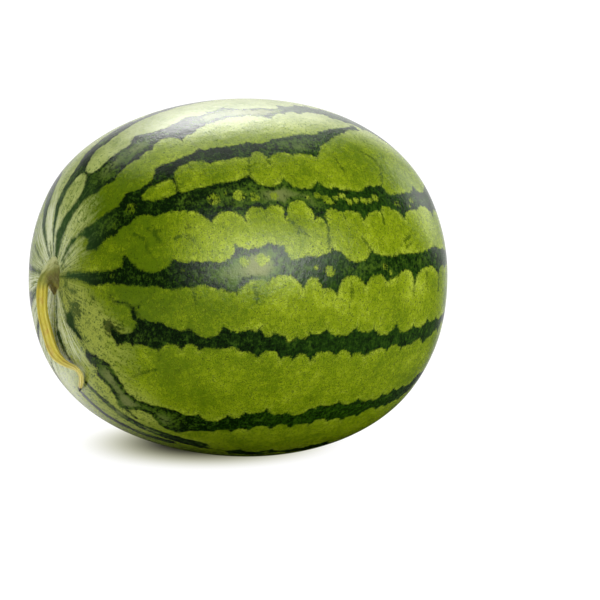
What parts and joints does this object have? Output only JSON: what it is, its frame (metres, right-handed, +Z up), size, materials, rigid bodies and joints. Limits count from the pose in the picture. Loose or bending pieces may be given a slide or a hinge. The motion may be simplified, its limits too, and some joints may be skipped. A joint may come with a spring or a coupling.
{
  "type": "watermelon",
  "caption": "Whole oval striped watermelon lying on its side, with its short dried stalk bent over and lying along the rind.",
  "frame": {"origin": "on the flat spot that the fruit rests on, below the middle of the fruit", "axes": "+Z up, +X along the fruit towards its blossom end, stem end at -X and tipped up four degrees"},
  "size_m": [0.2794, 0.2381, 0.2384],
  "materials": {
    "rind": "waxy semi-gloss natural rind, yellow-green with dark green lengthwise stripes",
    "stalk": "dry fibrous stalk, straw yellow with olive and brown at its foot"
  },
  "bodies": {
    "root": {"fruit": "rind", "stem": "stalk"}
  },
  "joints": []
}
